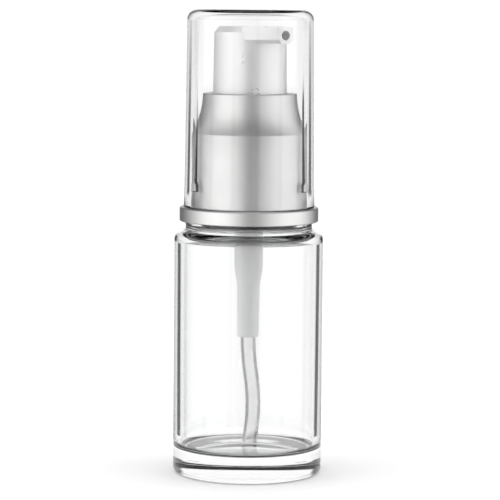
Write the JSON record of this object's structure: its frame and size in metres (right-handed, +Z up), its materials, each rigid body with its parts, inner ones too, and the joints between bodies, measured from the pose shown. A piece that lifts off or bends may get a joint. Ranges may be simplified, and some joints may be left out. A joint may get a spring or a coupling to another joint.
{
  "type": "foundation bottle",
  "caption": "Clear cylindrical glass bottle with a screw-on treatment pump, satin metal collar, side spout and clear overcap.",
  "frame": {"origin": "centre of the base, on the surface the bottle stands on", "axes": "+Z up along the bottle's axis; the spout points along -Y; +X to the right of someone facing the spout"},
  "size_m": [0.033, 0.033, 0.1025],
  "materials": {
    "glass": "clear, fire-polished",
    "clear_plastic": "clear, polished",
    "satin_aluminium": "satin anodised, natural silver",
    "closure_plastic": "natural white moulding",
    "gasket_foam": "soft white foam",
    "natural_plastic": "translucent natural polypropylene",
    "pump_plastic": "white moulding",
    "piston_plastic": "natural polyethylene",
    "spring_steel": "drawn stainless wire",
    "ball_steel": "ground stainless ball",
    "tube_plastic": "translucent extruded polyethylene",
    "actuator_plastic": "white satin moulding"
  },
  "bodies": {
    "bottle": {"glass_bottle": "glass"},
    "pump": {"pump_housing": "natural_plastic", "neck_gasket": "gasket_foam", "lock_ring": "pump_plastic", "dip_tube": "tube_plastic", "return_spring": "spring_steel"},
    "closure": {"screw_closure": "closure_plastic", "collar_shell": "satin_aluminium"},
    "plunger": {"upper_stem": "pump_plastic", "plunger_rod": "pump_plastic"},
    "piston": {"piston": "piston_plastic"},
    "inlet_ball": {"check_ball": "ball_steel"},
    "actuator": {"actuator": "actuator_plastic"},
    "overcap": {"overcap": "clear_plastic"}
  },
  "joints": [
    {"name": "pump_lift", "type": "slide", "parent": "bottle", "child": "pump", "axis": [0, 0, 1], "range_m": [0, 0.0048]},
    {"name": "closure_turn", "type": "hinge", "parent": "pump", "child": "closure", "pos_m": [0, 0, 0.06], "axis": [0, 0, 1], "range_deg": [0, 545]},
    {"name": "overcap_lift", "type": "slide", "parent": "closure", "child": "overcap", "axis": [0, 0, 1], "range_m": [0, 0.045]},
    {"name": "actuator_press", "type": "slide", "parent": "pump", "child": "plunger", "axis": [0, 0, -1], "range_m": [0, 0.005], "stiffness_N_per_m": 900, "springref_m": -0.009, "deforming": ["return_spring"]},
    {"name": "actuator_swivel", "type": "hinge", "parent": "plunger", "child": "actuator", "pos_m": [0, 0, 0.09], "axis": [0, 0, 1], "continuous": true},
    {"name": "piston_lag", "type": "slide", "parent": "plunger", "child": "piston", "axis": [0, 0, 1], "range_m": [0, 0.0006]},
    {"name": "ball_lift", "type": "slide", "parent": "pump", "child": "inlet_ball", "axis": [0, 0, 1], "range_m": [0, 0.0008]}
  ],
  "couplings": [
    {"joint": "closure_turn", "follows": "pump_lift", "rad_per_m": 1979}
  ]
}
